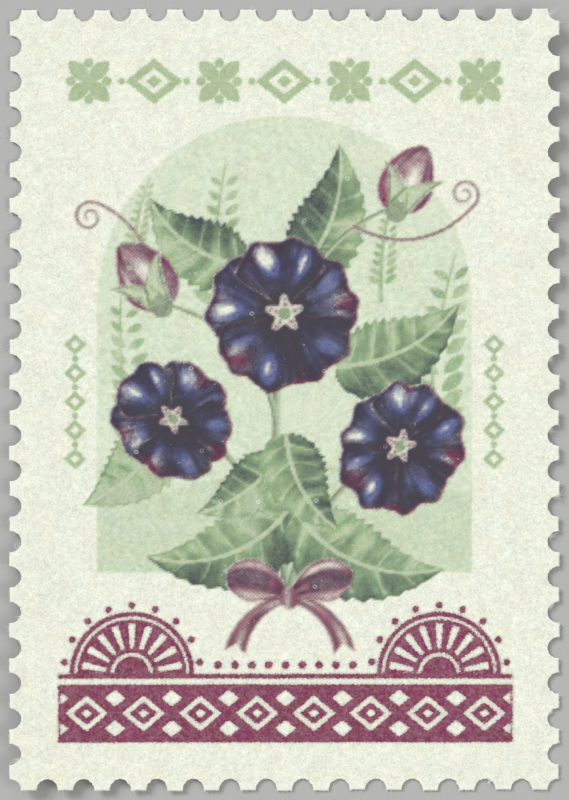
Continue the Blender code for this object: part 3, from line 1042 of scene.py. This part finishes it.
def paper_colour(place):
    """Cool and warm clouds, darkened and lightened by pulp at every scale, and a few specks."""
    hue = noise(place, 1.1, 4.0, 0.8).step(0.36, 0.64)
    pulp = noise(place, 0.9, 2.0, 0.9)
    tufts = noise(place, 0.24, 1.0, 0.9)
    grain = noise(place, 0.10, 1.0, 0.9)
    specks = noise(place, 0.10, 0.0).step(0.72, 0.80)
    shade = 1.0 + PULP * (pulp - 0.5) + TUFTS * (tufts - 0.5) + GRAIN * (grain - 0.5) - SPECKS * specks
    colour = blend(hue, PAPER_COOL, PAPER_WARM)
    return Wire.node("ShaderNodeVectorMath", {0: colour, "Scale": shade}, operation="SCALE")


def felt(place, depth):
    """A bump of crossed fibres: fine noise over broader noise, to a depth in millimetres."""
    long_way = stretched(place, (1.0, 0.3, 1.0), 0.6)
    cross_way = stretched(place, (0.3, 1.0, 1.0), -0.4)
    height = 0.5 * noise(long_way, 0.05, 1.0) + 0.5 * noise(cross_way, 0.05, 1.0) + 0.8 * noise(place, 0.22, 2.0)
    return Wire.node("ShaderNodeBump", {"Height": height, "Strength": 1.0, "Distance": depth * MM}, 0)


def paper_roughness(place):
    """Matt all over: 0.62 to 0.78, in patches of 0.15 mm."""
    return noise(place, 0.15).step(0.3, 0.7, 0.62, 0.78)


def split(vector):
    """The three parts of a vector: x, y and z, or the tones of three plates."""
    parts = Wire.node("ShaderNodeSeparateXYZ", {0: vector}).socket.node
    return [Wire(socket) for socket in parts.outputs]


print("paper mixes", PAPER_COOL[:3], "and", PAPER_WARM[:3])

# %% Paper and fibre materials
FIBRE_WHITE = (0.885, 0.895, 0.835, 1.0)     # bare pulp, where teeth and rims are rubbed
RUBBED = 0.45                                # how far the rubbing reaches in, in mm
paper_material = new_material("uncoated_stamp_paper")
place = object_place()
east, north, _ = split(place)
to_column = east.maths("ABSOLUTE") - (corner[0] - RUBBED) * MM
to_row = north.maths("ABSOLUTE") - (corner[1] - RUBBED) * MM
rubbed = to_column.maths("MAXIMUM", to_row).step(0.0, RUBBED * MM) * noise(place, 0.3).step(0.3, 0.6, 0.4, 1.0)
surface(blend(0.7 * rubbed, paper_colour(place), FIBRE_WHITE), paper_roughness(place), felt(place, 0.006),
        **{"Specular IOR Level": 0.28})
paper_sheet.data.materials.append(paper_material)

fibre_material = new_material("pulp_fibres")
place = object_place()
tint_of = blend(noise(place, 0.2).step(0.3, 0.7), (0.86, 0.88, 0.80, 1), (0.93, 0.93, 0.90, 1))
surface(tint_of, 0.7, felt(place, 0.002), **{"Specular IOR Level": 0.35})
torn_fibres.data.materials.append(fibre_material)
hole_wisps.data.materials.append(fibre_material)

# %% [markdown]
# Screened ink
#
# A tone is printed as a field of tiny dots that grow and run together. Seen from a hand's breadth they merge, but a
# soft weave stays. Each plate's dots are a sum of two cosines at its own angle. The tone is pushed up where the dots
# are and down between them, most at middle tones, with a little noise for the paper's tooth. The green, claret and
# blue inks are clear: each multiplies the colour below it by its own, by as much as it covers. The black is opaque
# and is mixed in. Dust on a plate leaves small rings and points that took no ink.

# %% Inks and screens
INKS = {"green": (0.49, 0.605, 0.385, 1), "claret": (0.305, 0.034, 0.160, 1),
        "blue": (0.12, 0.140, 0.43, 1), "black": (0.052, 0.050, 0.063, 1)}
MAROON = (0.225, 0.042, 0.098, 1)       # the claret where it lies thick
PALE_GREEN = (0.485, 0.69, 0.40, 1)     # the green where it lies thin
DEEP_GREEN = (0.365, 0.530, 0.300, 1)   # and where it was printed twice
COOLER = (0.97, 0.97, 1.12, 1)          # the green varies towards blue from spot to spot
SCREEN_ANGLE = {"green": 15, "claret": 50, "blue": 0, "black": 40}
SCREEN_WEIGHT = {"green": 0.06, "claret": 0.22, "blue": 0.10, "black": 0.12}
SCREEN_PITCH = 0.128             # from dot to dot, in mm
TOOTH_WEIGHT = 0.70              # how much of a middle tone's unevenness is the paper's
DUST_SPACING = 2.2               # of the places where dust may lie, in mm
EDGE = {"green": (0.075, -0.055), "claret": (0.045, -0.030)}    # where a solid's cover starts and is full
HALO, HALO_WIDTH = 0.30, 0.12    # ink that creeps out round a solid


def screen(east, north, degrees):
    """0.5 + 0.25 (cos u + cos v), where u and v are turned coordinates that gain a whole turn from dot to dot."""
    turn = 2 * math.pi / (SCREEN_PITCH * MM)
    c, s = math.cos(math.radians(degrees)) * turn, math.sin(math.radians(degrees)) * turn
    u = (east * c + north * s).maths("COSINE")
    v = (north * c - east * s).maths("COSINE")
    return 0.5 + 0.25 * (u + v)


def voids(place):
    """Small rings and points that took no ink, where dust sat on the plate: a band of distance from random spots."""
    values = {"Vector": place, "Scale": 1000 / DUST_SPACING}
    spots = Wire.node("ShaderNodeTexVoronoi", values, voronoi_dimensions="2D")
    chosen = Wire(spots.socket.node.outputs["Color"]).step(0.60, 0.62)
    away = spots * DUST_SPACING
    ring = away.step(0.035, 0.060) * away.step(0.125, 0.095)
    points = noise(place, 0.17, 0.0).step(0.81, 0.86)
    return (0.75 * ring * chosen).maths("MAXIMUM", 0.7 * points)


def stored(name, output="Vector"):
    """The values that the film keeps at its points under this name."""
    return Wire.node("ShaderNodeAttribute", output=output, attribute_name=name)


print("dots in 10 mm:", round(10 / SCREEN_PITCH))

# %% Ink material
ink_material = new_material("screened_printing_ink")
place = object_place()
east, north, _ = split(place)
tones = dict(zip(("green", "claret", "blue"), split(stored("tones"))))
tones["black"] = stored("black_tone", "Fac")
edges = dict(zip(("green", "claret"), split(stored("edges"))))
tooth = 0.9 * noise(place, 0.10, 1.0, 0.9) + 0.9 * noise(place, 0.26, 1.0, 0.9) - 0.9
nibble = (noise(place, 0.095, 1.0, 0.9) - 0.5) * 0.16
mottle = noise(place, 0.16, 3.0, 0.65)
pull = noise(stretched(place, (1.0, 0.28, 1.0)), 0.20, 3.0, 0.8)
thick = (0.6 * pull + 0.4 * noise(place, 0.10, 1.0)).step(0.40, 0.60)
missed = voids(place)
colour = paper_colour(place)
covered = 0.0
for plate, value in tones.items():
    middle = 4 * value * (1 - value)
    weave = SCREEN_WEIGHT[plate] * (screen(east, north, SCREEN_ANGLE[plate]) - 0.5)
    dots = value + middle * (weave + TOOTH_WEIGHT * tooth)
    cover = dots - 0.30 * value * (tooth + 0.12) - 0.55 * missed * value
    ink = INKS[plate]
    if plate in edges:
        reach = edges[plate] + nibble
        body = reach.step(*EDGE[plate]) * (0.955 - mottle.step(0.59, 0.74, 0.0, 0.14) + 0.30 * tooth)
        cover = cover.maths("MAXIMUM", body).maths("MAXIMUM", HALO * reach.step(HALO_WIDTH, 0.0))
    if plate == "claret":
        ink = blend(thick, ink, MAROON)
    if plate == "green":
        ink = blend(value.step(0.86, 1.0), blend(cover.step(0.35, 0.75), PALE_GREEN, ink), DEEP_GREEN)
        ink = blend(noise(place, 0.30, 3.0, 0.8).step(0.35, 0.65), ink, COOLER, "MULTIPLY")
    cover = cover.maths("MINIMUM", 1.0).maths("MAXIMUM", 0.0)
    colour = blend(cover, colour, ink, "MIX" if plate == "black" else "MULTIPLY")
    covered = cover.maths("MAXIMUM", covered)
surface(colour, paper_roughness(place) - 0.16 * covered, felt(place, 0.006), **{"Specular IOR Level": 0.25})
printed_ink.data.materials.append(ink_material)

# %% [markdown]
# Dried gum
#
# Gum dries to a thin glossy skin, faintly yellow, over the paper's felt. It isn't quite even: the brush leaves long
# soft strokes, yellower where they are thick, and the skin is dulled in patches. On the real sheet it is clear, and
# the paper shows through it, so the colour here is the paper's, filtered by a pale yellow.

# %% Gum material
gum_material = new_material("dried_gum")
place = object_place()
ripple = stretched(place, (1.0, 0.12, 1.0))
dull = noise(place, 2.5, 3.0, 0.6).step(0.35, 0.7)
strokes = noise(ripple, 0.9, 2.0)
height = strokes + 0.25 * noise(place, 0.15, 2.0)
bump = Wire.node("ShaderNodeBump", {"Height": height, "Strength": 1.0, "Distance": 0.014 * MM})
coat = strokes.step(0.3, 0.7, 0.45, 0.95) - 0.25 * dull
amber = blend(coat, paper_colour(place), (0.955, 0.915, 0.755, 1), "MULTIPLY")
surface(amber, 0.26 + 0.16 * dull, bump, **{"Coat Roughness": 0.12, "Coat Weight": 0.25})
gum_coat.data.materials.append(gum_material)
print("materials:", [material.name for material in bpy.data.materials if material.users])

# %% [markdown]
# Stage, light and camera
#
# A small object is best seen on a plain floor in soft light. The floor is a little darker than the paper, so that the
# white teeth stand out against it. A broad lamp stands at the upper left and a weaker one at the right, both low
# enough that the ink has no glare, and the sky fills the shadows. The camera looks straight down, and its lens is
# long, because a flat sheet should show no perspective.

# %% Stage
FLOOR_HALF = 3.0                 # half the floor's side, in metres
FLOOR_DROP = 0.00002             # so that the floor and the underside don't share a plane
SKY, LAMP_SPREAD = 0.5, 26       # strength of the sky, and how broad a lamp looks, in degrees
floor_mesh = bpy.data.meshes.new("floor")
ends = np.array([(-1, -1), (1, -1), (1, 1), (-1, 1)]) * FLOOR_HALF
floor_mesh.from_pydata([(x, y, -FLOOR_DROP) for x, y in ends], [], [(0, 1, 2, 3)])
floor = bpy.data.objects.new("floor", floor_mesh)
bpy.context.scene.collection.objects.link(floor)
floor_material = new_material("plain_floor")
surface((0.46, 0.46, 0.455, 1), 0.8, Wire.node("ShaderNodeBump", {"Height": 0.0}), **{"Specular IOR Level": 0.2})
floor.data.materials.append(floor_material)

scene = bpy.context.scene
world = bpy.data.worlds.new("soft_sky")
scene.world = world
world.use_nodes = True
sky = world.node_tree.nodes["Background"].inputs
sky["Color"].default_value, sky["Strength"].default_value = (1.0, 1.0, 1.0, 1.0), SKY


def lamp(name, towards, strength):
    """A broad distant lamp that shines from this direction, with soft-edged shadows."""
    light = bpy.data.lights.new(name, "SUN")
    light.angle, light.energy = math.radians(LAMP_SPREAD), strength
    holder = bpy.data.objects.new(name, light)
    scene.collection.objects.link(holder)
    away = math.hypot(towards[0], towards[1])
    holder.rotation_euler = (math.atan2(away, towards[2]), 0, math.atan2(towards[0], -towards[1]))


lamp("key_lamp", (-0.5, 0.45, 0.5), 1.95)
lamp("fill_lamp", (0.6, -0.2, 0.5), 0.70)

CAMERA_HEIGHT = 0.30             # above the middle of the curl
CURL_MIDDLE = 0.0003
FRAME_HEIGHT = 0.800 / 21.05     # 800 pixels at 21.05 pixels to the millimetre
eye = bpy.data.cameras.new("camera")
eye.sensor_fit, eye.sensor_width = "AUTO", 36.0
eye.lens = eye.sensor_width * CAMERA_HEIGHT / FRAME_HEIGHT
eye.clip_start, eye.clip_end = 0.01, 20.0
camera = bpy.data.objects.new("camera", eye)
scene.collection.objects.link(camera)
camera.location = (0.0, 0.0, CAMERA_HEIGHT + CURL_MIDDLE)
scene.camera = camera
scene.view_settings.view_transform = "Standard"
print("lens, in mm:", round(eye.lens, 1))
